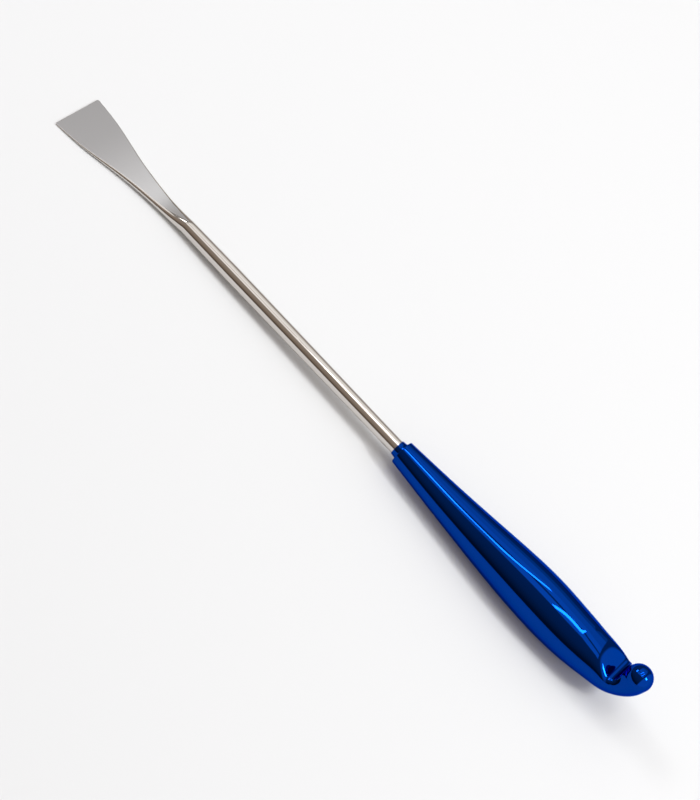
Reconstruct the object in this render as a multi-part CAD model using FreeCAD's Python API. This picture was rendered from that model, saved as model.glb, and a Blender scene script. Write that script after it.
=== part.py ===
import FreeCAD, Part
import math
import os

# Breast dissector: a forged steel blade and rod in a polished grip whose tail turns up into a
# ball-ended hook. All lengths are in millimetres.
#
# Both pieces are drawn about the rod's axis first: X runs from the blade's edge towards the
# grip's tail, Z is square to the blade's flat face, and every "from_edge" length starts at the
# blade's edge. They are then laid down together the way the instrument comes to rest on a table,
# on the blade's edge and the belly of the grip.

# Blade: where each section lies behind the edge
flare_from_edge = 15.0
taper_from_edge = 33.0
waist_from_edge = 46.0
scoop_from_edge = 55.0
runout_from_edge = 61.0
root_from_edge = 68.0

# Blade: width and thickness of each section, and the height of its top face above the rod's axis
edge_width = 25.2
edge_thickness = 0.5
edge_height = -0.15
edge_corner_radius = 0.9
flare_width = 21.5
flare_thickness = 0.8
flare_height = 0.05
taper_width = 13.8
taper_thickness = 1.9
taper_height = 0.3
waist_width = 9.8
waist_thickness = 2.4
waist_height = 0.5
scoop_width = 8.0
scoop_thickness = 3.1
scoop_height = 0.8
runout_width = 7.3
runout_thickness = 4.4
runout_height = 1.65

# Half the angle of the rod's round top that the blade's flat face runs out into
runout_half_angle = 12.0

# Rod
root_diameter = 6.7
rod_diameter = 7.2
rod_full_from_edge = 94.0
rod_end_diameter = 6.4
rod_in_grip = 42.0
rod_end_chamfer = 0.6

# Fit of the rod in the grip's blind socket
socket_radial_clearance = 0.03
socket_end_gap = 0.2
socket_floor_depth = 1.0

# Grip: the thin collar at its mouth, and the square shoulder behind it
collar_from_edge = 193.4
collar_length = 2.6
collar_mouth_diameter = 7.0
collar_root_diameter = 7.9
collar_edge_radius = 0.12
shoulder_diameter = 10.9
shoulder_edge_radius = 0.35

# Grip body: distance of each oval section behind the shoulder, its depth, and how far its
# centre lies below the rod's axis. Every one of them is wider than it is deep by the same amount,
# so that the grip sits steady on its belly.
oval_extra_width = 1.1
front_from_shoulder = 25.0
front_depth = 14.2
front_drop = 0.75
middle_from_shoulder = 53.0
middle_depth = 19.1
middle_drop = 0.9
swell_from_shoulder = 82.0
swell_depth = 22.4
swell_drop = 0.75
belly_from_shoulder = 95.0
belly_depth = 21.7
belly_drop = 0.95
tail_from_shoulder = 105.0
tail_depth = 20.2
tail_drop = 0.6

# Hook: the sections that turn up from the body, by distance behind the shoulder, height of the
# centre above the rod's axis, diameter, and the angle that the section leans back
bend_from_shoulder = 114.0
bend_height = 0.3
bend_depth = 18.3
bend_lean = 4.0
heel_from_shoulder = 120.3
heel_height = 1.2
heel_depth = 16.6
heel_lean = 14.0
turn_from_shoulder = 125.2
turn_height = 3.6
turn_diameter = 13.9
turn_lean = 45.0
neck_from_shoulder = 127.5
neck_height = 6.8
neck_diameter = 12.3
neck_lean = 72.0
ball_from_shoulder = 128.4
ball_height = 10.1
ball_diameter = 11.6

# Finger notch between the grip's nose and the ball
notch_floor_height = 4.6
notch_crest_height = 9.5
notch_reach = 8.0
notch_floor_radius = 2.0
notch_nose_slope = 52.0
notch_nose_radius = 3.2
notch_side_radius = 0.8
notch_wall_clearance = 0.1

# Steps for the search of the resting angle
resting_steps = 24
resting_angle_limit = 10.0

# Where the shoulder and the ball lie along the rod's axis
shoulder_from_edge = collar_from_edge + collar_length
ball_from_edge = shoulder_from_edge + ball_from_shoulder
rod_length = shoulder_from_edge + rod_in_grip


def vector(x, y, z):
    """A point or direction."""
    return FreeCAD.Vector(x, y, z)


def flat_section(x, width, thickness, top):
    """Closed wire of a flat bar's section with half-round edges, top face at height top."""
    edge_radius = thickness / 2
    flat = width / 2 - edge_radius
    bottom = top - thickness
    middle = top - edge_radius
    top_left, top_right = vector(x, -flat, top), vector(x, flat, top)
    bottom_left, bottom_right = vector(x, -flat, bottom), vector(x, flat, bottom)
    right = Part.Arc(top_right, vector(x, flat + edge_radius, middle), bottom_right)
    left = Part.Arc(bottom_left, vector(x, -flat - edge_radius, middle), top_left)
    top_line = Part.LineSegment(top_left, top_right)
    bottom_line = Part.LineSegment(bottom_right, bottom_left)
    return Part.Wire([edge.toShape() for edge in (top_line, right, bottom_line, left)])


def round_section(x, diameter):
    """Closed wire of a circle in four arcs that line up with the flat section's four edges."""
    radius = diameter / 2

    def at(angle):
        turn = math.radians(angle)
        return vector(x, radius * math.cos(turn), radius * math.sin(turn))

    half = runout_half_angle
    stops = [90 + half, 90 - half, half - 90, -90 - half, half - 270]
    arcs = []
    for start, end in zip(stops, stops[1:]):
        arcs.append(Part.Arc(at(start), at((start + end) / 2), at(end)).toShape())
    return Part.Wire(arcs)


def make_blade():
    """Flat flared blade whose top face runs out into the round rod."""
    sections = [
        flat_section(0, edge_width, edge_thickness, edge_height),
        flat_section(flare_from_edge, flare_width, flare_thickness, flare_height),
        flat_section(taper_from_edge, taper_width, taper_thickness, taper_height),
        flat_section(waist_from_edge, waist_width, waist_thickness, waist_height),
        flat_section(scoop_from_edge, scoop_width, scoop_thickness, scoop_height),
        flat_section(runout_from_edge, runout_width, runout_thickness, runout_height),
        round_section(root_from_edge, root_diameter),
    ]
    blade = Part.makeLoft(sections, True, False)
    width = max(edge_width, flare_width)
    height = 2 * root_diameter
    plate = Part.makeBox(root_from_edge + 1, width, height, vector(0, -width / 2, -height / 2))
    corners = [edge for edge in plate.Edges
               if edge.BoundBox.XMax < edge_thickness and edge.BoundBox.ZLength > height / 2]
    return blade.common(plate.makeFillet(edge_corner_radius, corners))


def make_rod():
    """Round rod, fullest a little behind the blade, with a straight end for the socket."""
    outline = [
        vector(root_from_edge, 0, 0),
        vector(root_from_edge, 0, root_diameter / 2),
        vector(rod_full_from_edge, 0, rod_diameter / 2),
        vector(collar_from_edge, 0, rod_end_diameter / 2),
        vector(rod_length - rod_end_chamfer, 0, rod_end_diameter / 2),
        vector(rod_length, 0, rod_end_diameter / 2 - rod_end_chamfer),
        vector(rod_length, 0, 0),
    ]
    return revolve(Part.makePolygon(outline + outline[:1]))


def revolve(outline):
    """Solid of revolution of a closed outline about the rod's axis."""
    return Part.Face(outline).revolve(vector(0, 0, 0), vector(1, 0, 0), 360)


def ring(from_shoulder, height, depth, lean, extra_width=0.0):
    """Control points of a section leaning back by lean degrees, the last on the first."""
    centre = vector(shoulder_from_edge + from_shoulder, 0, height)
    turn = math.radians(lean)
    across = vector(0, 1, 0) * ((depth + extra_width) / 2)
    upward = vector(-math.sin(turn), 0, math.cos(turn)) * (depth / 2)
    corners = [(0, -1), (1, -1), (1, 0), (1, 1), (0, 1), (-1, 1), (-1, 0), (-1, -1), (0, -1)]
    return [centre + across * y + upward * z for y, z in corners]


def oval_ring(from_shoulder, height, depth, lean=0.0):
    """Control points of a section of the grip's oval body."""
    return ring(from_shoulder, height, depth, lean, oval_extra_width)


def skin(rings):
    """Closed solid under a smooth surface that passes through each of the round sections."""
    stations = [0.0]
    for points, following in zip(rings, rings[1:]):
        stations.append(stations[-1] + (following[0] - points[0]).Length)
    lines = []
    for points in zip(*rings):
        line = Part.BSplineCurve()
        line.interpolate(Points=list(points), Parameters=stations)
        lines.append(line)
    poles = [list(row) for row in zip(*[line.getPoles() for line in lines])]
    corner_weight = math.sqrt(0.5)
    weights = [[1, corner_weight] * 4 + [1] for row in poles]
    surface = Part.BSplineSurface()
    surface.buildFromPolesMultsKnots(poles, lines[0].getMultiplicities(), [3, 2, 2, 2, 3],
                                     lines[0].getKnots(), [0, 1, 2, 3, 4], False, False, 3, 2,
                                     weights)
    side = surface.toShape()
    ends = [edge for edge in side.Edges if edge.isClosed()]
    caps = [Part.Face(Part.Wire([edge])) for edge in ends]
    shell = Part.Shell([side] + caps)
    shell.sewShape()
    return Part.Solid(shell)


def make_grip_body():
    """Swelling grip that turns up at its tail and ends in a ball."""
    rings = [
        ring(0, 0, shoulder_diameter, 0),
        oval_ring(front_from_shoulder, -front_drop, front_depth),
        oval_ring(middle_from_shoulder, -middle_drop, middle_depth),
        oval_ring(swell_from_shoulder, -swell_drop, swell_depth),
        oval_ring(belly_from_shoulder, -belly_drop, belly_depth),
        oval_ring(tail_from_shoulder, -tail_drop, tail_depth),
        oval_ring(bend_from_shoulder, bend_height, bend_depth, bend_lean),
        oval_ring(heel_from_shoulder, heel_height, heel_depth, heel_lean),
        ring(turn_from_shoulder, turn_height, turn_diameter, turn_lean),
        ring(neck_from_shoulder, neck_height, neck_diameter, neck_lean),
        ring(ball_from_shoulder, ball_height, ball_diameter, 90),
    ]
    centre = vector(ball_from_edge, 0, ball_height)
    crown = Part.makeSphere(ball_diameter / 2, centre, vector(0, 0, 1), 0, 90, 360)
    return skin(rings).fuse(crown)


def make_notch():
    """Cutter of the finger notch: a round nose, a sloping side, a round floor and a wall."""
    slope = math.radians(notch_nose_slope)
    lean, rise = math.sin(slope), math.cos(slope)
    wall = ball_from_edge - ball_diameter / 2 - notch_wall_clearance
    ceiling = ball_height + ball_diameter
    half_width = swell_depth
    # The floor's round touches the wall and the slope, the nose's round the slope and its crest.
    floor_x = wall - notch_floor_radius
    floor_z = notch_floor_height + notch_floor_radius
    foot_x = floor_x - notch_floor_radius * lean
    foot_z = floor_z - notch_floor_radius * rise
    nose_z = notch_crest_height - notch_nose_radius
    head_z = nose_z + notch_nose_radius * rise
    head_x = foot_x - (head_z - foot_z) / math.tan(slope)
    nose_x = head_x - notch_nose_radius * lean

    def at(x, z):
        return vector(x, -half_width, z)

    def on_round(x, z, radius, angle):
        return at(x + radius * math.cos(angle), z + radius * math.sin(angle))

    low_angle = -math.pi / 4 - slope / 2
    high_angle = math.pi / 2 - slope / 2
    floor = Part.Arc(at(foot_x, foot_z), on_round(floor_x, floor_z, notch_floor_radius, low_angle),
                     at(wall, floor_z))
    nose = Part.Arc(at(nose_x, notch_crest_height),
                    on_round(nose_x, nose_z, notch_nose_radius, high_angle), at(head_x, head_z))
    edges = [
        Part.LineSegment(at(head_x, head_z), at(foot_x, foot_z)),
        floor,
        Part.LineSegment(at(wall, floor_z), at(wall, ceiling)),
        Part.LineSegment(at(wall, ceiling), at(nose_x, ceiling)),
        Part.LineSegment(at(nose_x, ceiling), at(nose_x, notch_crest_height)),
        nose,
    ]
    outline = Part.Wire([edge.toShape() for edge in edges])
    return Part.Face(outline).extrude(vector(0, 2 * half_width, 0))


def notch_rims(grip):
    """Edges of the grip where the notch comes out on its sides and up the ball's neck."""
    wall = ball_from_edge - ball_diameter / 2
    rims = []
    for edge in grip.Edges:
        box = edge.optimalBoundingBox(False, False)
        on_notch = wall - notch_reach < box.XMin and box.XMax < wall
        straight_across = box.XLength < 0.01 and box.ZLength < 0.01
        if on_notch and not straight_across:
            rims.append(edge)
    return rims


def make_collar():
    """Short collar that flares from the socket's mouth to the grip's shoulder."""
    outline = [
        vector(collar_from_edge, 0, 0),
        vector(collar_from_edge, 0, collar_mouth_diameter / 2 - collar_edge_radius),
        vector(collar_from_edge + collar_edge_radius, 0, collar_mouth_diameter / 2),
        vector(shoulder_from_edge, 0, collar_root_diameter / 2),
        vector(shoulder_from_edge + collar_length, 0, collar_root_diameter / 2),
        vector(shoulder_from_edge + collar_length, 0, 0),
    ]
    return revolve(Part.makePolygon(outline + outline[:1]))


def shoulder_rim(grip):
    """Outer edge of the grip's flat front face."""
    return [edge for edge in grip.Edges
            if edge.optimalBoundingBox(False, False).XMax < shoulder_from_edge + 0.01]


def make_socket():
    """Cutter of the blind socket that takes the rod's straight end."""
    radius = rod_end_diameter / 2 + socket_radial_clearance
    depth = collar_length + rod_in_grip + socket_end_gap
    bore = Part.makeCylinder(radius, depth, vector(collar_from_edge, 0, 0), vector(1, 0, 0))
    drill_point = Part.makeCone(radius, 0, socket_floor_depth,
                                vector(collar_from_edge + depth, 0, 0), vector(1, 0, 0))
    return bore.fuse(drill_point)


def make_blade_shaft():
    """Blade and rod, forged as one piece."""
    return make_blade().fuse(make_rod()).removeSplitter()


def make_handle():
    """Grip with its collar, hook and socket, all one piece."""
    grip = make_grip_body().cut(make_notch())
    grip = grip.makeFillet(notch_side_radius, notch_rims(grip))
    grip = grip.makeFillet(shoulder_edge_radius, shoulder_rim(grip))
    return grip.fuse(make_collar()).cut(make_socket())


def lowest(shape, angle):
    """Height of the shape's lowest point when it is pitched by angle degrees about Y."""
    pitched = shape.copy()
    pitched.rotate(vector(0, 0, 0), vector(0, 1, 0), angle)
    return pitched.optimalBoundingBox(False, False).ZMin


def resting_pitch(front, rear):
    """Angle about Y, in degrees, at which the two shapes stand equally low."""
    least, most = -resting_angle_limit, resting_angle_limit
    for step in range(resting_steps):
        middle = (least + most) / 2
        if lowest(front, middle) < lowest(rear, middle):
            least = middle
        else:
            most = middle
    return (least + most) / 2


def lay_down(pieces):
    """Pitch the pieces onto the table and move the middle of their footprint to the origin."""
    pitch = resting_pitch(pieces["blade_shaft"], pieces["handle"])
    for piece in pieces.values():
        piece.rotate(vector(0, 0, 0), vector(0, 1, 0), pitch)
    whole = Part.Compound(list(pieces.values())).optimalBoundingBox(False, False)
    shift = vector(-(whole.XMin + whole.XMax) / 2, -(whole.YMin + whole.YMax) / 2, -whole.ZMin)
    for piece in pieces.values():
        piece.translate(shift)


def main():
    os.makedirs("parts", exist_ok=True)
    pieces = {"blade_shaft": make_blade_shaft(), "handle": make_handle()}
    lay_down(pieces)
    for name, piece in pieces.items():
        piece.exportStep("parts/" + name + ".step")


main()
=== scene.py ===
"""Dresses a breast dissector: a forged steel blade and rod in a blue, mirror-polished grip."""
import logging
import math
from bisect import bisect_right
from collections.abc import Callable, Sequence
from dataclasses import dataclass, field
from enum import Enum

import bmesh
import bpy
from mathutils import Matrix, Vector


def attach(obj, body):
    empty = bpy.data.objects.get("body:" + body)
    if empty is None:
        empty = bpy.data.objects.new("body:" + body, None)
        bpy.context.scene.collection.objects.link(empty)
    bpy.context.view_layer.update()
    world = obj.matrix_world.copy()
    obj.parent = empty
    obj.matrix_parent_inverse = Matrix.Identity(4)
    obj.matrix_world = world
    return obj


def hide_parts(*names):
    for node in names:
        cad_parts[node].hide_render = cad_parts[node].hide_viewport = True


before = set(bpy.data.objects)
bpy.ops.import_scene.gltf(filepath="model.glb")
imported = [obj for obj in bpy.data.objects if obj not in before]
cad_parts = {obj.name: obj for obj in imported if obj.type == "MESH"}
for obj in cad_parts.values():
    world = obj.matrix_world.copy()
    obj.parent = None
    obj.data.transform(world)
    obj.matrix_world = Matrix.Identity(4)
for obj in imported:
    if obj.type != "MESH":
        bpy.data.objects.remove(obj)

log = logging.getLogger("dissector")

MM = 0.001
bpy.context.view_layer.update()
CREASE_DEG = 50.0


# ------------------------------------------------------------------ where the instrument lies
@dataclass(frozen=True)
class Lie:
    """How the instrument's own axes lie in the frame: X along the rod, Z off the blade's flat."""

    pitch_deg: float = 2.3460
    rod_above_floor: float = 0.6495
    blade_edge_x: float = -164.7594

    def matrix(self) -> Matrix:
        """Returns the matrix from the instrument's millimetres to the frame's metres."""
        turn = Matrix.Rotation(-math.radians(self.pitch_deg), 4, "Y")
        move = Matrix.Translation((self.blade_edge_x, 0.0, self.rod_above_floor))
        return Matrix.Scale(MM, 4) @ move @ turn


LIE = Lie()


# ------------------------------------------------------------------ smooth lines
class SmoothLine:
    """Natural cubic spline through values at stations."""

    def __init__(self, stations: Sequence[float], values: Sequence[float]) -> None:
        """Solves the spline.

        Args:
            stations: rising places of the values.
            values: what the line passes through.
        """
        self.at = list(stations)
        self.values = list(values)
        count = len(self.at)
        gaps = [b - a for a, b in zip(self.at, self.at[1:])]
        lower, diagonal, right = [0.0] * count, [1.0] * count, [0.0] * count
        for i in range(1, count - 1):
            before, after = gaps[i - 1], gaps[i]
            rise = (self.values[i + 1] - self.values[i]) / after
            fall = (self.values[i] - self.values[i - 1]) / before
            pivot = 2.0 * (before + after) - before * lower[i - 1]
            lower[i] = after / pivot
            right[i] = (6.0 * (rise - fall) - before * right[i - 1]) / pivot
            diagonal[i] = pivot
        self.bends = [0.0] * count
        for i in range(count - 2, 0, -1):
            self.bends[i] = right[i] - lower[i] * self.bends[i + 1]

    def __call__(self, place: float) -> float:
        """Returns the line's value at a place."""
        i = min(max(bisect_right(self.at, place) - 1, 0), len(self.at) - 2)
        gap = self.at[i + 1] - self.at[i]
        ahead = (place - self.at[i]) / gap
        behind = 1.0 - ahead
        curve = (behind ** 3 - behind) * self.bends[i] + (ahead ** 3 - ahead) * self.bends[i + 1]
        return behind * self.values[i] + ahead * self.values[i + 1] + curve * gap * gap / 6.0


def soft_least(value: float, limit: float, softness: float) -> float:
    """Returns the lesser of two numbers, rounded where they meet."""
    if softness <= 0.0:
        return min(value, limit)
    share = min(max(0.5 + 0.5 * (limit - value) / softness, 0.0), 1.0)
    return limit * (1.0 - share) + value * share - softness * share * (1.0 - share)


def spread(start: float, end: float, step: float) -> list[float]:
    """Returns even places from start to end, about a step apart, both ends among them."""
    count = max(1, round(abs(end - start) / step))
    return [start + (end - start) * i / count for i in range(count + 1)]


# ------------------------------------------------------------------ rings and skins
Outline = Callable[[float], tuple[float, float]]


@dataclass(frozen=True)
class Ring:
    """A closed section: where its centre is, which way is up in it, and its outline."""

    centre: Vector
    up: Vector
    outline: Outline

    def point(self, share: float) -> Vector:
        """Returns the point a share of the way round, from the top towards +Y."""
        across, height = self.outline(share)
        return self.centre + Vector((0.0, across, 0.0)) + self.up * height


def upright(x: float, radius: float) -> Ring:
    """Returns a round ring square to the rod."""
    def outline(share: float) -> tuple[float, float]:
        turn = 2.0 * math.pi * share
        return radius * math.sin(turn), radius * math.cos(turn)
    return Ring(Vector((x, 0.0, 0.0)), Vector((0.0, 0.0, 1.0)), outline)


class RingSkin:
    """A closed mesh that is drawn out ring by ring from a circle."""

    def __init__(self, name: str, points: int) -> None:
        """Starts the skin.

        Args:
            name: the piece's name.
            points: how many points each ring has.
        """
        self.name = name
        self.points = points

    def build(self, rings: Sequence[Ring], pole: Vector | None = None) -> bpy.types.Object:
        """Draws the skin out through the rings and closes both ends.

        Args:
            rings: the sections, in order.
            pole: a point that the last ring closes to, or None for a flat end.

        Returns:
            The piece, at the origin, its place in its mesh.
        """
        bpy.ops.object.select_all(action="DESELECT")
        bpy.ops.mesh.primitive_circle_add(vertices=self.points, radius=1.0, fill_type="NOTHING")
        piece = bpy.context.object
        piece.name = self.name
        piece.data.name = self.name
        bpy.ops.object.mode_set(mode="EDIT")
        bpy.ops.mesh.select_all(action="SELECT")
        self._place(piece, rings[0])
        bpy.ops.mesh.edge_face_add()
        bpy.ops.mesh.select_all(action="DESELECT")
        self._select_rim(piece)
        for ring in rings[1:]:
            bpy.ops.mesh.extrude_edges_move()
            self._place(piece, ring)
        if pole is None:
            bpy.ops.mesh.edge_face_add()
        else:
            bpy.ops.mesh.extrude_edges_move()
            bpy.ops.mesh.merge(type="CENTER")
            self._move_selected(piece, pole)
        bpy.ops.mesh.select_all(action="SELECT")
        bpy.ops.mesh.normals_make_consistent(inside=False)
        bpy.ops.object.mode_set(mode="OBJECT")
        piece.data.transform(LIE.matrix())
        return piece

    def _select_rim(self, piece: bpy.types.Object) -> None:
        """Selects the first ring's edges, which bound its face."""
        bpy.context.tool_settings.mesh_select_mode = (False, True, False)
        shell = bmesh.from_edit_mesh(piece.data)
        shell.select_mode = {"EDGE"}
        for face in shell.faces:
            face.select = False
        for edge in shell.edges:
            edge.select = True
        bmesh.update_edit_mesh(piece.data)

    def _place(self, piece: bpy.types.Object, ring: Ring) -> None:
        """Sets the selected points on a ring's outline, in the order they were drawn."""
        shell = bmesh.from_edit_mesh(piece.data)
        loop = sorted((v for v in shell.verts if v.select), key=lambda v: v.index)
        for i, vertex in enumerate(loop):
            vertex.co = ring.point(i / self.points)
        bmesh.update_edit_mesh(piece.data)

    def _move_selected(self, piece: bpy.types.Object, place: Vector) -> None:
        """Moves the one selected point to a place."""
        shell = bmesh.from_edit_mesh(piece.data)
        for vertex in shell.verts:
            if vertex.select:
                vertex.co = place
        bmesh.update_edit_mesh(piece.data)


def smooth(piece: bpy.types.Object) -> None:
    """Shades a piece smooth, apart from its sharp edges."""
    bpy.ops.object.select_all(action="DESELECT")
    piece.select_set(True)
    bpy.context.view_layer.objects.active = piece
    bpy.ops.object.shade_smooth_by_angle(angle=math.radians(CREASE_DEG))


# ------------------------------------------------------------------ shader expressions
class Tree:
    """Builds the nodes of one material or world."""

    def __init__(self, owner: bpy.types.Material | bpy.types.World) -> None:
        """Starts an empty node tree on its owner."""
        self.owner = owner
        owner.use_nodes = True
        self.nodes = owner.node_tree.nodes
        self.links = owner.node_tree.links
        self.nodes.clear()

    def node(self, kind: str, settings: dict | None = None, **sockets: object) -> bpy.types.Node:
        """Adds a node.

        Args:
            kind: the node's type.
            settings: its properties, set before its sockets.
            sockets: values or links, by the socket's name with underscores for spaces.

        Returns:
            The node.
        """
        made = self.nodes.new(kind)
        for key, value in (settings or {}).items():
            if key == "stops":
                ramp = made.color_ramp
                for place, colour in value[1:-1]:
                    ramp.elements.new(place)
                for element, (place, colour) in zip(ramp.elements, value):
                    element.position = place
                    element.color = colour
            else:
                setattr(made, key, value)
        for key, value in sockets.items():
            name = key.replace("_", " ")
            target = int(name[3:]) if name.startswith("in ") else name
            self.feed(made.inputs[target], value)
        return made

    def feed(self, socket: bpy.types.NodeSocket, value: object) -> None:
        """Links or sets a socket."""
        if isinstance(value, Signal):
            self.links.new(value.socket, socket)
        elif isinstance(value, bpy.types.NodeSocket):
            self.links.new(value, socket)
        else:
            socket.default_value = value

    def signal(self, kind: str, output: str | int = 0, settings: dict | None = None,
               **sockets: object) -> "Signal":
        """Adds a node and returns one of its outputs as a signal."""
        return Signal(self, self.node(kind, settings, **sockets).outputs[output])

    def finish(self, surface: bpy.types.Node) -> bpy.types.Material | bpy.types.World:
        """Connects the surface shader to the owner's output."""
        kind = "World" if isinstance(self.owner, bpy.types.World) else "Material"
        self.node("ShaderNodeOutput" + kind, None, Surface=surface.outputs[0])
        return self.owner


class Signal:
    """A socket's value that can be added to, multiplied and so on."""

    def __init__(self, tree: Tree, socket: bpy.types.NodeSocket) -> None:
        """Wraps a socket of a tree."""
        self.tree = tree
        self.socket = socket

    def _math(self, operation: str, first: object, second: object = 0.0) -> "Signal":
        """Adds a Math node of two values."""
        return self.tree.signal("ShaderNodeMath", 0, {"operation": operation},
                                in_0=first, in_1=second)

    def __add__(self, other: object) -> "Signal":
        """Returns self + other."""
        return self._math("ADD", self, other)

    __radd__ = __add__

    def __mul__(self, other: object) -> "Signal":
        """Returns self * other."""
        return self._math("MULTIPLY", self, other)

    __rmul__ = __mul__

    def __sub__(self, other: object) -> "Signal":
        """Returns self - other."""
        return self._math("SUBTRACT", self, other)

    def __rsub__(self, other: object) -> "Signal":
        """Returns other - self."""
        return self._math("SUBTRACT", other, self)

    def __truediv__(self, other: object) -> "Signal":
        """Returns self / other."""
        return self._math("DIVIDE", self, other)

    def angle_from(self, other: object) -> "Signal":
        """Returns the angle of a direction that rises by self and runs by other, in radians."""
        return self._math("ARCTAN2", self, other)

    def between(self, low: float, high: float) -> "Signal":
        """Returns a smooth step from 0 at low to 1 at high."""
        return self.tree.signal("ShaderNodeMapRange", 0, {"interpolation_type": "SMOOTHSTEP"},
                                Value=self, From_Min=low, From_Max=high)


def mix_colour(tree: Tree, share: object, first: object, second: object) -> Signal:
    """Returns a mix of two colours."""
    made = tree.node("ShaderNodeMix", {"data_type": "RGBA"})
    tree.feed(made.inputs[0], share)
    tree.feed(made.inputs[6], first)
    tree.feed(made.inputs[7], second)
    return Signal(tree, made.outputs[2])


# ------------------------------------------------------------------ finishes
RGBA = tuple[float, float, float, float]


@dataclass(frozen=True)
class SteelFinish:
    """Bright polished stainless steel, with the blade's face left satin and painted lighter
    towards its root as a painted reflection.
    """

    bright: RGBA = (0.62, 0.585, 0.55, 1.0)
    satin: RGBA = (0.46, 0.455, 0.462, 1.0)
    # painted reflection: a lighter satin colour near the root, standing in for light caught where
    # the flat curves up into the rod
    satin_painted_sheen_near_root: RGBA = (0.66, 0.66, 0.67, 1.0)
    painted_sheen_edges: tuple[float, float] = (-0.152, -0.112)
    bright_roughness: float = 0.05
    bright_streaks: float = 0.05
    bright_smudges: float = 0.02
    bright_bump: float = 0.15
    satin_roughness: float = 0.33
    satin_streaks: float = 0.05
    satin_smudges: float = 0.06
    streak_scale: float = 3000.0
    streak_stretch: float = 0.02
    streak_edges: tuple[float, float] = (0.45, 0.8)
    smudge_scale: float = 55.0
    bump_strength: float = 0.06
    bump_distance: float = 0.00002
    satin_attribute: str = "satin"
    satin_edges: tuple[float, float] = (0.25, 0.75)

    def material(self) -> bpy.types.Material:
        """Returns the material."""
        tree = Tree(bpy.data.materials.new("steel"))
        place = tree.signal("ShaderNodeTexCoord", "Object")
        along = tree.signal("ShaderNodeMapping", 0, None, Vector=place,
                            Scale=(self.streak_stretch, 1.0, 1.0))
        streaks = tree.signal("ShaderNodeTexNoise", "Fac", None, Vector=along,
                              Scale=self.streak_scale, Detail=2.0)
        smudges = tree.signal("ShaderNodeTexNoise", "Fac", None, Vector=place,
                              Scale=self.smudge_scale, Detail=3.0)
        satin = tree.signal("ShaderNodeAttribute", "Fac",
                            {"attribute_name": self.satin_attribute}).between(*self.satin_edges)
        scratches = streaks.between(*self.streak_edges)
        polish = (self.bright_roughness + self.bright_streaks * scratches
                  + self.bright_smudges * smudges)
        blasted = (self.satin_roughness + self.satin_smudges * (smudges - 0.5)
                   + self.satin_streaks * (streaks - 0.5))
        roughness = satin * blasted + (1.0 - satin) * polish
        ahead = Signal(tree, tree.node("ShaderNodeSeparateXYZ", None, Vector=place).outputs["X"])
        # painted reflection: the satin face's colour turns lighter towards the root, where the
        # flat runs out into the rod
        painted_sheen = ahead.between(*self.painted_sheen_edges)
        blade = mix_colour(tree, painted_sheen, self.satin, self.satin_painted_sheen_near_root)
        colour = mix_colour(tree, satin, self.bright, blade)
        height = streaks * (self.bright_bump + (1.0 - self.bright_bump) * satin)
        bump = tree.signal("ShaderNodeBump", "Normal", None, Height=height,
                           Strength=self.bump_strength, Distance=self.bump_distance)
        shader = tree.node("ShaderNodeBsdfPrincipled", None, Base_Color=colour,
                           Roughness=roughness, Normal=bump, Metallic=1.0)
        return tree.finish(shader)


@dataclass(frozen=True)
class AnodisedFinish:
    """Deep blue, mirror-polished anodised metal."""

    deep: RGBA = (0.0008, 0.034, 0.260, 1.0)
    light: RGBA = (0.0012, 0.038, 0.280, 1.0)
    rim: RGBA = (0.30, 0.45, 0.90, 1.0)
    roughness: float = 0.03
    tone_scale: float = 30.0
    tone_roughness: float = 0.02

    def material(self) -> bpy.types.Material:
        """Returns the material."""
        tree = Tree(bpy.data.materials.new("grip"))
        place = tree.signal("ShaderNodeTexCoord", "Object")
        tone = tree.signal("ShaderNodeTexNoise", "Fac", None, Vector=place,
                           Scale=self.tone_scale, Detail=2.0)
        colour = mix_colour(tree, tone, self.deep, self.light)
        roughness = self.roughness + self.tone_roughness * tone
        shader = tree.node("ShaderNodeBsdfPrincipled", None, Base_Color=colour, Metallic=1.0,
                           Roughness=roughness, Specular_Tint=self.rim)
        return tree.finish(shader)


class Part(Enum):
    """The instrument's two pieces, by the CAD node that each one stands for."""

    BLADE_SHAFT = "blade_shaft"
    GRIP = "handle"


class Slot(Enum):
    """The material slots, by the names of the two materials."""

    STEEL = "steel"
    GRIP = "grip"


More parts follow.
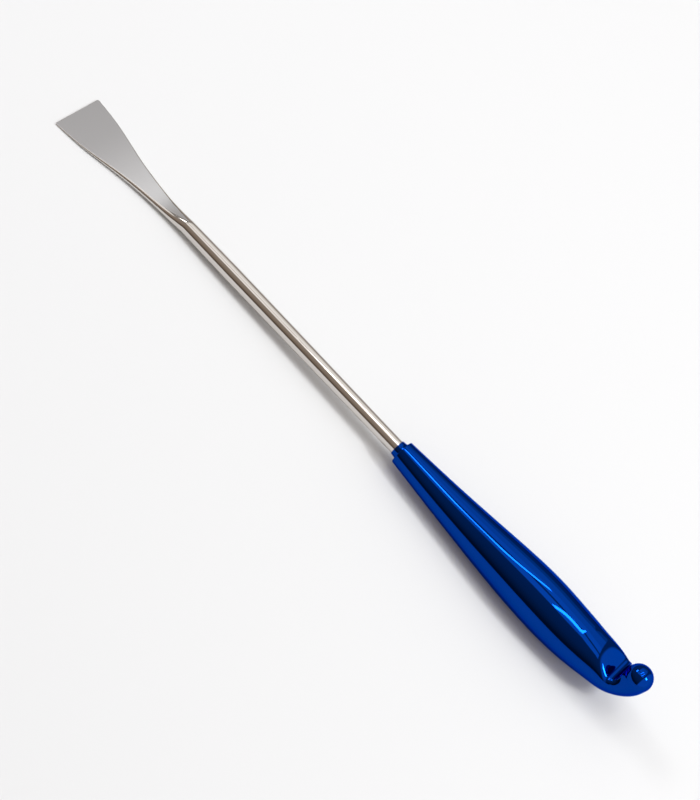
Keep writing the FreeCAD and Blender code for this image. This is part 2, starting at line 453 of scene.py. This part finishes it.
# ------------------------------------------------------------------ blade and rod
@dataclass
class BladeAndRod:
    """Flat flared blade whose top runs out into a long round rod; millimetres."""

    points: int = 96
    rod_end: float = 238.0
    rod_end_radius: float = 3.2
    rod_end_chamfer: float = 0.6
    collar: float = 193.4
    full: float = 94.0
    full_radius: float = 3.6
    root: float = 68.0
    root_radius: float = 3.35
    corner_radius: float = 0.9
    edge_bevel: float = 0.12
    edge_steps: tuple[float, ...] = (2.5, 1.6, 0.9, 0.7, 0.5, 0.35, 0.22)
    edge_trims: tuple[tuple[float, float], ...] = ((0.05, 0.03), (0.02, 0.07))
    socket_step: float = 6.0
    rod_step: float = 3.0
    neck_step: float = 2.0
    blade_step: float = 0.8
    eased_swell: float = 0.35
    satin_past_flat: float = 0.05
    satin_below_top: float = 0.02
    most_straight: float = 0.7
    stations: tuple[float, ...] = (0.0, 15.0, 33.0, 46.0, 55.0, 61.0, 68.0)
    widths: tuple[float, ...] = (25.2, 21.5, 13.8, 9.8, 8.0, 7.3, 6.7)
    thicknesses: tuple[float, ...] = (0.5, 0.8, 1.9, 2.4, 3.1, 4.4, 6.7)
    tops: tuple[float, ...] = (-0.15, 0.05, 0.3, 0.5, 0.8, 1.65, 3.35)
    finish: SteelFinish = field(default_factory=SteelFinish)

    def build(self) -> bpy.types.Object:
        """Models the piece and returns it."""
        self.width = SmoothLine(self.stations, self.widths)
        self.thickness = SmoothLine(self.stations, self.thicknesses)
        self.top = SmoothLine(self.stations, self.tops)
        rings = self._rod_rings() + self._blade_rings()
        piece = RingSkin("blade_and_rod", self.points).build(rings)
        self._mark_satin(piece)
        smooth(piece)
        return piece

    def _rod_rings(self) -> list[Ring]:
        """Returns the rod's rings, from its end in the socket to the blade's root."""
        tip = self.rod_end_radius - self.rod_end_chamfer
        rings = [upright(self.rod_end, tip), upright(self.rod_end - self.rod_end_chamfer,
                                                     self.rod_end_radius)]
        for x in spread(self.rod_end - self.rod_end_chamfer - 0.1, self.collar, self.socket_step):
            rings.append(upright(x, self.rod_end_radius))
        for x in spread(self.collar, self.full, self.rod_step)[1:]:
            share = (self.collar - x) / (self.collar - self.full)
            eased = share * share * (3.0 - 2.0 * share)
            swell = eased * self.eased_swell + share * (1.0 - self.eased_swell)
            radius = self.rod_end_radius + (self.full_radius - self.rod_end_radius) * swell
            rings.append(upright(x, radius))
        for x in spread(self.full, self.root, self.neck_step)[1:-1]:
            share = (x - self.root) / (self.full - self.root)
            radius = self.root_radius + (self.full_radius - self.root_radius) * share
            rings.append(upright(x, radius))
        return rings

    def _blade_rings(self) -> list[Ring]:
        """Returns the blade's rings, from its root to its edge."""
        places = spread(self.root, self.edge_steps[0], self.blade_step)[:-1]
        rings = [self._section(x, 0.0) for x in (*places, *self.edge_steps, self.edge_bevel)]
        trims = (*self.edge_trims, (0.0, self.edge_bevel))
        return rings + [self._section(x, trim) for x, trim in trims]

    def _section(self, x: float, trim: float) -> Ring:
        """Returns the flat bar's section at a place, its faces brought in by a trim."""
        half_width = self.width(x) / 2.0
        if x < self.corner_radius:
            cut = self.corner_radius - x
            half_width -= self.corner_radius - math.sqrt(self.corner_radius ** 2 - cut ** 2)
        thickness = self.thickness(x)
        edge = thickness / 2.0
        middle = self.top(x) - edge
        flat = max(half_width - edge, 0.0)
        edge -= trim
        quarter = 0.5 * math.pi * edge
        straight = min(flat / (quarter + flat), self.most_straight)

        def outline(place: float) -> tuple[float, float]:
            # place is 0 at the middle of the top, 0.25 at the +Y edge, 0.5 at the bottom
            side = 1.0 if place <= 0.5 else -1.0
            turn = min(place, 1.0 - place)
            level = 1.0 if turn <= 0.25 else -1.0
            half = 4.0 * min(turn, 0.5 - turn)
            if half < straight:
                return side * flat * half / straight, level * edge
            angle = (half - straight) / (1.0 - straight) * 0.5 * math.pi
            return side * (flat + edge * math.sin(angle)), level * edge * math.cos(angle)

        return Ring(Vector((x, 0.0, middle)), Vector((0.0, 0.0, 1.0)), outline)

    def _mark_satin(self, piece: bpy.types.Object) -> None:
        """Marks the points of the blade's flat top, which is left satin."""
        mesh = piece.data
        marks = mesh.attributes.new(self.finish.satin_attribute, "FLOAT", "POINT")
        back = LIE.matrix().inverted()
        for i, vertex in enumerate(mesh.vertices):
            place = back @ vertex.co
            if place.x > self.root or place.x < 0.0:
                continue
            flat = (self.width(place.x) - self.thickness(place.x)) / 2.0
            top = self.top(place.x)
            on_flat = (abs(place.y) < flat + self.satin_past_flat
                       and place.z > top - self.satin_below_top)
            marks.data[i].value = 1.0 if on_flat else 0.0

    def dress(self, piece: bpy.types.Object) -> None:
        """Gives the piece its finish, hides the CAD node that it stands for and hangs it from the
        root body.
        """
        piece.data.materials.clear()
        piece.data.materials.append(self.finish.material())
        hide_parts(Part.BLADE_SHAFT.value)
        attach(piece, "root")


# ------------------------------------------------------------------ grip
@dataclass(frozen=True)
class Station:
    """One section of the grip: behind the shoulder, its height, depth, lean and extra width."""

    behind: float
    height: float
    depth: float
    lean_deg: float = 0.0
    wider: float = 0.0


@dataclass
class Notch:
    """The finger notch between the grip's nose and its ball; millimetres."""

    floor_height: float = 4.6
    crest_height: float = 9.6
    crest_run: float = 12.0
    crest_rise: float = 0.05
    crest_points: int = 20
    turn_step: float = 0.08
    wall_height: float = 30.0
    floor_radius: float = 2.0
    slope_deg: float = 27.0
    nose_radius: float = 9.0
    wall_clearance: float = 0.1
    smoothed_ahead: float = 20.0
    smoothed_until: float = 0.5
    smoothed_below: float = 3.0
    smoothings: int = 40
    smoothing_share: float = 0.5
    softness: float = 2.6
    softness_ends_deg: float = 86.0
    softness_starts_deg: float = 50.0

    def outline(self, wall: float) -> list[Vector]:
        """Returns the notch's side view, from the crest over the nose and up the wall."""
        slope = math.radians(self.slope_deg)
        lean, rise = math.sin(slope), math.cos(slope)
        floor = Vector((wall - self.floor_radius, 0.0, self.floor_height + self.floor_radius))
        foot = floor - Vector((lean, 0.0, rise)) * self.floor_radius
        nose_z = self.crest_height - self.nose_radius
        head_z = nose_z + self.nose_radius * rise
        head_x = foot.x - (head_z - foot.z) / math.tan(slope)
        nose = Vector((head_x - self.nose_radius * lean, 0.0, nose_z))
        points = []
        step = self.crest_run / self.crest_points
        for back in spread(self.crest_run, step, step):
            points.append(Vector((nose.x - back, 0.0,
                                  self.crest_height + self.crest_rise * back * back)))
        for turn in spread(math.pi / 2, math.pi / 2 - slope, self.turn_step):
            points.append(nose + self.nose_radius * Vector((math.cos(turn), 0.0, math.sin(turn))))
        for turn in spread(-math.pi / 2 - slope, 0.0, self.turn_step):
            points.append(floor + self.floor_radius * Vector((math.cos(turn), 0.0,
                                                              math.sin(turn))))
        points.append(Vector((wall, 0.0, self.crest_height + self.wall_height)))
        return points


@dataclass
class Grip:
    """Swelling grip with a collar at its mouth, and a tail that turns up into a ball."""

    points: int = 128
    collar: float = 193.4
    collar_length: float = 2.6
    collar_radius: float = 3.5
    collar_root_radius: float = 3.95
    collar_bevel: float = 0.12
    collar_steps: tuple[float, ...] = (0.1, 0.25, 0.4, 0.55, 0.7, 0.8, 0.88, 0.94, 0.98, 1.0)
    collar_curve: float = 2.2
    shoulder_bevel: float = 0.35
    shoulder_turns: int = 6
    bore_radius: float = 3.23
    bore_depth: float = 44.8
    bore_cone: float = 1.0
    stations: tuple[Station, ...] = (
        Station(0.0, 0.0, 10.9),
        Station(25.0, -0.75, 14.2, 0.0, 1.1),
        Station(53.0, -0.9, 19.1, 0.0, 1.1),
        Station(82.0, -0.75, 22.4, 0.0, 1.1),
        Station(95.0, -0.95, 21.7, 0.0, 1.1),
        Station(105.0, -0.6, 20.2, 0.0, 1.1),
        Station(114.0, 0.3, 18.3, 4.0, 1.1),
        Station(120.3, 1.2, 16.6, 14.0, 1.1),
        Station(125.2, 3.6, 13.9, 45.0),
        Station(127.5, 6.8, 12.3, 72.0),
        Station(128.4, 10.1, 11.6, 90.0),
    )
    notch: Notch = field(default_factory=Notch)
    body_step: float = 1.4
    tail_step: float = 0.45
    tail_station: int = 6
    tail_lead: float = 4.0
    socket_step: float = 6.0
    ball_rings: int = 26
    finish: AnodisedFinish = field(default_factory=AnodisedFinish)

    def build(self) -> bpy.types.Object:
        """Models the piece and returns it."""
        shoulder = self.collar + self.collar_length
        self._draw_lines(shoulder)
        last = self.stations[-1]
        ball = Vector((shoulder + last.behind, 0.0, last.height))
        radius = last.depth / 2.0
        self.valley = self.notch.outline(ball.x - radius - self.notch.wall_clearance)
        rings = self._mouth_rings(shoulder) + self._body_rings() + self._ball_rings(ball, radius)
        piece = RingSkin("grip", self.points).build(rings, ball + Vector((0.0, 0.0, radius)))
        self._soften_notch(piece, ball.x - radius)
        smooth(piece)
        return piece

    def _soften_notch(self, piece: bpy.types.Object, wall: float) -> None:
        """Smooths the skin of the nose and the notch's floor, short of the ball."""
        back = LIE.matrix().inverted()
        bpy.ops.object.mode_set(mode="EDIT")
        bpy.ops.mesh.select_all(action="DESELECT")
        bpy.context.tool_settings.mesh_select_mode = (True, False, False)
        shell = bmesh.from_edit_mesh(piece.data)
        for vertex in shell.verts:
            place = back @ vertex.co
            ahead = wall - place.x
            vertex.select = (self.notch.smoothed_until < ahead < self.notch.smoothed_ahead
                             and place.z > self.notch.floor_height - self.notch.smoothed_below)
        shell.select_flush(True)
        bmesh.update_edit_mesh(piece.data)
        bpy.ops.mesh.vertices_smooth(factor=self.notch.smoothing_share,
                                     repeat=self.notch.smoothings)
        bpy.ops.object.mode_set(mode="OBJECT")

    def _draw_lines(self, shoulder: float) -> None:
        """Sets up the smooth lines that the skin follows between its stations."""
        centres, ups, widths = [], [], []
        for station in self.stations:
            lean = math.radians(station.lean_deg)
            centres.append(Vector((shoulder + station.behind, 0.0, station.height)))
            up = Vector((-math.sin(lean), 0.0, math.cos(lean)))
            ups.append(up * (station.depth / 2.0))
            widths.append((station.depth + station.wider) / 2.0)
        feet = [centre - up for centre, up in zip(centres, ups)]
        self.places = [0.0]
        for foot, following in zip(feet, feet[1:]):
            self.places.append(self.places[-1] + (following - foot).length)
        self.centre_x = SmoothLine(self.places, [c.x for c in centres])
        self.centre_z = SmoothLine(self.places, [c.z for c in centres])
        self.up_x = SmoothLine(self.places, [u.x for u in ups])
        self.up_z = SmoothLine(self.places, [u.z for u in ups])
        self.half_width = SmoothLine(self.places, widths)

    def _mouth_rings(self, shoulder: float) -> list[Ring]:
        """Returns the rings of the socket, the collar and the shoulder's flat face."""
        mouth, bevel = self.collar, self.collar_bevel
        deep = mouth + self.bore_depth
        rings = [upright(deep + self.bore_cone, 0.02), upright(deep, self.bore_radius)]
        rings += [upright(x, self.bore_radius)
                  for x in spread(deep - 0.05, mouth + 0.05, self.socket_step)]
        rings.append(upright(mouth, self.bore_radius + 0.01))
        rings.append(upright(mouth, self.collar_radius - bevel - 0.02))
        rings.append(upright(mouth, self.collar_radius - bevel))
        rings.append(upright(mouth + 0.3 * bevel, self.collar_radius - 0.3 * bevel))
        rings.append(upright(mouth + bevel, self.collar_radius))
        face = shoulder - 0.02
        rise = self.collar_root_radius - self.collar_radius
        for share in self.collar_steps:
            flare = share ** self.collar_curve
            rings.append(upright(mouth + bevel + (face - mouth - bevel) * share,
                                 self.collar_radius + rise * flare))
        rings.append(upright(shoulder, self.collar_root_radius + 0.04))
        edge = self.stations[0].depth / 2.0 - self.shoulder_bevel
        rings.append(upright(shoulder, self.collar_root_radius + 0.1))
        rings.append(upright(shoulder, edge - 0.05))
        for turn in spread(0.0, math.pi / 2, math.pi / 2 / self.shoulder_turns):
            rings.append(upright(shoulder + self.shoulder_bevel * (1.0 - math.cos(turn)),
                                 edge + self.shoulder_bevel * math.sin(turn)))
        return rings

    def _body_rings(self) -> list[Ring]:
        """Returns the rings of the body and the turned-up tail, as far as the ball."""
        tail = self.places[self.tail_station] - self.tail_lead
        places = spread(self.shoulder_bevel * 2.0, tail, self.body_step)
        places += spread(tail, self.places[-1], self.tail_step)[1:]
        return [self._section(place) for place in places]

    def _section(self, place: float) -> Ring:
        """Returns the skin's ring at a place along its underside."""
        centre = Vector((self.centre_x(place), 0.0, self.centre_z(place)))
        up = Vector((self.up_x(place), 0.0, self.up_z(place)))
        depth = up.length
        up.normalize()
        width = self.half_width(place)
        limit = self._floor_ahead(centre, up)
        lean = math.degrees(math.atan2(-up.x, up.z))
        fade = (self.notch.softness_ends_deg - lean) / (
            self.notch.softness_ends_deg - self.notch.softness_starts_deg)
        softness = self.notch.softness * min(max(fade, 0.0), 1.0)

        def outline(share: float) -> tuple[float, float]:
            turn = 2.0 * math.pi * share
            height = depth * math.cos(turn)
            if limit is not None:
                height = soft_least(height, limit, softness)
            return width * math.sin(turn), height

        return Ring(centre, up, outline)

    def _floor_ahead(self, centre: Vector, up: Vector) -> float | None:
        """Returns how far above a centre the notch's outline is, or None if it is not there."""
        best = None
        for start, end in zip(self.valley, self.valley[1:]):
            run = end - start
            cross = up.x * run.z - up.z * run.x
            if abs(cross) < 1e-9:
                continue
            gap = start - centre
            reach = (gap.x * run.z - gap.z * run.x) / cross
            share = (gap.x * up.z - gap.z * up.x) / cross
            if reach > 0.0 and -1e-6 <= share <= 1.0 + 1e-6 and (best is None or reach < best):
                best = reach
        return best

    def _ball_rings(self, ball: Vector, radius: float) -> list[Ring]:
        """Returns the rings of the ball's upper half, each a smaller circle of the sphere."""
        rings = []
        up = Vector((-1.0, 0.0, 0.0))
        for i in range(1, self.ball_rings):
            turn = 0.5 * math.pi * i / self.ball_rings
            reach = radius * math.cos(turn)

            def outline(share: float, reach: float = reach) -> tuple[float, float]:
                angle = 2.0 * math.pi * share
                return reach * math.sin(angle), reach * math.cos(angle)

            rings.append(Ring(ball + Vector((0.0, 0.0, radius * math.sin(turn))), up, outline))
        return rings

    def dress(self, piece: bpy.types.Object) -> None:
        """Gives the piece its finish, hides the CAD node that it stands for and hangs it from the
        root body.
        """
        piece.data.materials.clear()
        piece.data.materials.append(self.finish.material())
        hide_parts(Part.GRIP.value)
        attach(piece, "root")


# ------------------------------------------------------------------ studio
@dataclass(frozen=True)
class Softbox:
    """A long lamp over the table; metres, its length turned from the instrument's way."""

    name: str
    x: float
    y: float
    z: float
    length: float
    width: float
    brightness: float
    turn_deg: float = 0.0


@dataclass
class Studio:
    """Pale table, soft lamps overhead, and the camera; metres unless it says otherwise."""

    floor_size: float = 6.0
    floor_colour: RGBA = (0.755, 0.766, 0.776, 1.0)
    lamps: tuple[Softbox, ...] = (
        Softbox("front_box", -0.20, -0.12, 1.2, 1.3, 0.41, 1.0),
        Softbox("middle_box", -0.20, 0.41, 1.2, 1.3, 0.40, 1.0),
        Softbox("back_box", -0.20, 1.02, 1.2, 1.3, 0.82, 0.75),
        Softbox("far_box", -0.20, 1.92, 1.2, 1.3, 0.98, 0.35),
        Softbox("bright_tube", -0.11, 0.22, 1.19, 0.62, 0.045, 14.0, 61.0),
        Softbox("streak_tube", 0.19, 0.05, 1.19, 0.62, 0.035, 14.0, 80.0),
        Softbox("key", 1.10, 0.15, 1.2, 0.50, 0.24, 32.0),
        Softbox("left_fill", -1.30, 0.15, 1.2, 0.50, 0.50, 10.0),
    )
    room: tuple[tuple[float, RGBA], ...] = (
        (0.0, (0.09, 0.065, 0.05, 1.0)),
        (0.06, (0.11, 0.083, 0.065, 1.0)),
        (0.11, (0.20, 0.155, 0.12, 1.0)),
        (0.22, (0.31, 0.25, 0.205, 1.0)),
        (0.38, (0.36, 0.30, 0.26, 1.0)),
        (0.43, (0.33, 0.30, 0.28, 1.0)),
        (0.71, (0.30, 0.29, 0.28, 1.0)),
        (0.84, (0.36, 0.32, 0.29, 1.0)),
        (0.90, (0.40, 0.345, 0.305, 1.0)),
        (1.0, (0.27, 0.27, 0.27, 1.0)),
    )
    right_wall: RGBA = (1.12, 1.13, 1.16, 1.0)
    right_wall_from: float = 0.33
    right_wall_full: float = 0.46
    camera_from_edge: float = 291.4
    camera_distance: float = 832.0
    camera_elevation_deg: float = 52.0
    aim_from_edge: float = 166.4
    aim_rise: float = -0.40
    roll_deg: float = 0.95
    off_axis: float = -0.25
    along_right: float = 0.70114
    along_down: float = 0.71302
    focal_pixels: float = 2093.0
    frame_height_pixels: float = 800.0
    sensor: float = 36.0

    def build(self) -> None:
        """Builds the floor, the lamps, the room's light and the camera."""
        self._floor()
        for lamp in self.lamps:
            self._lamp(lamp)
        self._room()
        self._camera()
        bpy.context.scene.view_settings.view_transform = "Standard"

    def _floor(self) -> None:
        """Adds the table's top."""
        bpy.ops.object.select_all(action="DESELECT")
        bpy.ops.mesh.primitive_plane_add(size=self.floor_size)
        floor = bpy.context.object
        floor.name = "table"
        tree = Tree(bpy.data.materials.new("table"))
        shader = tree.node("ShaderNodeBsdfPrincipled", None, Base_Color=self.floor_colour,
                           Roughness=0.9, Specular_IOR_Level=0.0)
        floor.data.materials.append(tree.finish(shader))

    def _lamp(self, lamp: Softbox) -> None:
        """Adds one lamp, facing straight down."""
        light = bpy.data.lights.new(lamp.name, "AREA")
        light.shape = "RECTANGLE"
        light.size = lamp.length
        light.size_y = lamp.width
        light.energy = lamp.brightness * math.pi * lamp.length * lamp.width
        holder = bpy.data.objects.new(lamp.name, light)
        holder.location = (lamp.x, lamp.y, lamp.z)
        holder.rotation_euler.z = math.radians(lamp.turn_deg)
        bpy.context.scene.collection.objects.link(holder)

    def _room(self) -> None:
        """Lights the room by the angle round the instrument, from the near to the far horizon."""
        world = bpy.data.worlds.new("room")
        bpy.context.scene.world = world
        tree = Tree(world)
        way = tree.node("ShaderNodeSeparateXYZ", None,
                        Vector=tree.signal("ShaderNodeTexCoord", "Generated"))
        across = Signal(tree, way.outputs["Y"])
        upward = Signal(tree, way.outputs["Z"])
        angle = upward.angle_from(across * -1.0) / math.pi
        bands = tree.signal("ShaderNodeValToRGB", "Color", {"stops": self.room}, Fac=angle)
        endwise = Signal(tree, way.outputs["X"])
        wall = endwise.between(self.right_wall_from, self.right_wall_full)
        colour = mix_colour(tree, wall, bands, self.right_wall)
        tree.finish(tree.node("ShaderNodeBackground", None, Color=colour))

    def _camera(self) -> None:
        """Adds the camera where the photograph was taken from."""
        rise = math.radians(self.camera_elevation_deg)
        lean = Vector((0.0, math.sin(rise), math.cos(rise)))
        eye = Vector((self.camera_from_edge,
                      self.off_axis - self.camera_distance * math.cos(rise),
                      self.camera_distance * math.sin(rise)))
        aim = Vector((self.aim_from_edge, self.off_axis, 0.0)) + lean * self.aim_rise
        ahead = (aim - eye).normalized()
        right = ahead.cross(lean).normalized()
        up = right.cross(ahead)
        roll = math.radians(self.roll_deg)
        right, up = (right * math.cos(roll) + up * math.sin(roll),
                     up * math.cos(roll) - right * math.sin(roll))
        side = right * self.along_right + up * self.along_down
        top = up * self.along_right - right * self.along_down
        turn = Matrix((side, top, -ahead)).transposed().to_4x4()
        lie = LIE.matrix()
        place = lie @ eye
        turn = (lie.to_3x3() * (1.0 / MM)).to_4x4() @ turn
        camera = bpy.data.cameras.new("camera")
        camera.sensor_width = self.sensor
        camera.lens = self.focal_pixels / self.frame_height_pixels * self.sensor
        camera.clip_start = 0.01
        holder = bpy.data.objects.new("camera", camera)
        holder.matrix_world = Matrix.Translation(place) @ turn
        bpy.context.scene.collection.objects.link(holder)
        bpy.context.scene.camera = holder


def main() -> None:
    """Builds the two pieces and the studio, and reports each piece."""
    logging.basicConfig(level=logging.INFO, format="%(name)s: %(message)s")
    for sub_assembly in (BladeAndRod(), Grip()):
        piece = sub_assembly.build()
        sub_assembly.dress(piece)
        log.info("%s: %d faces", piece.name, len(piece.data.polygons))
    Studio().build()


if __name__ == "__main__":
    main()
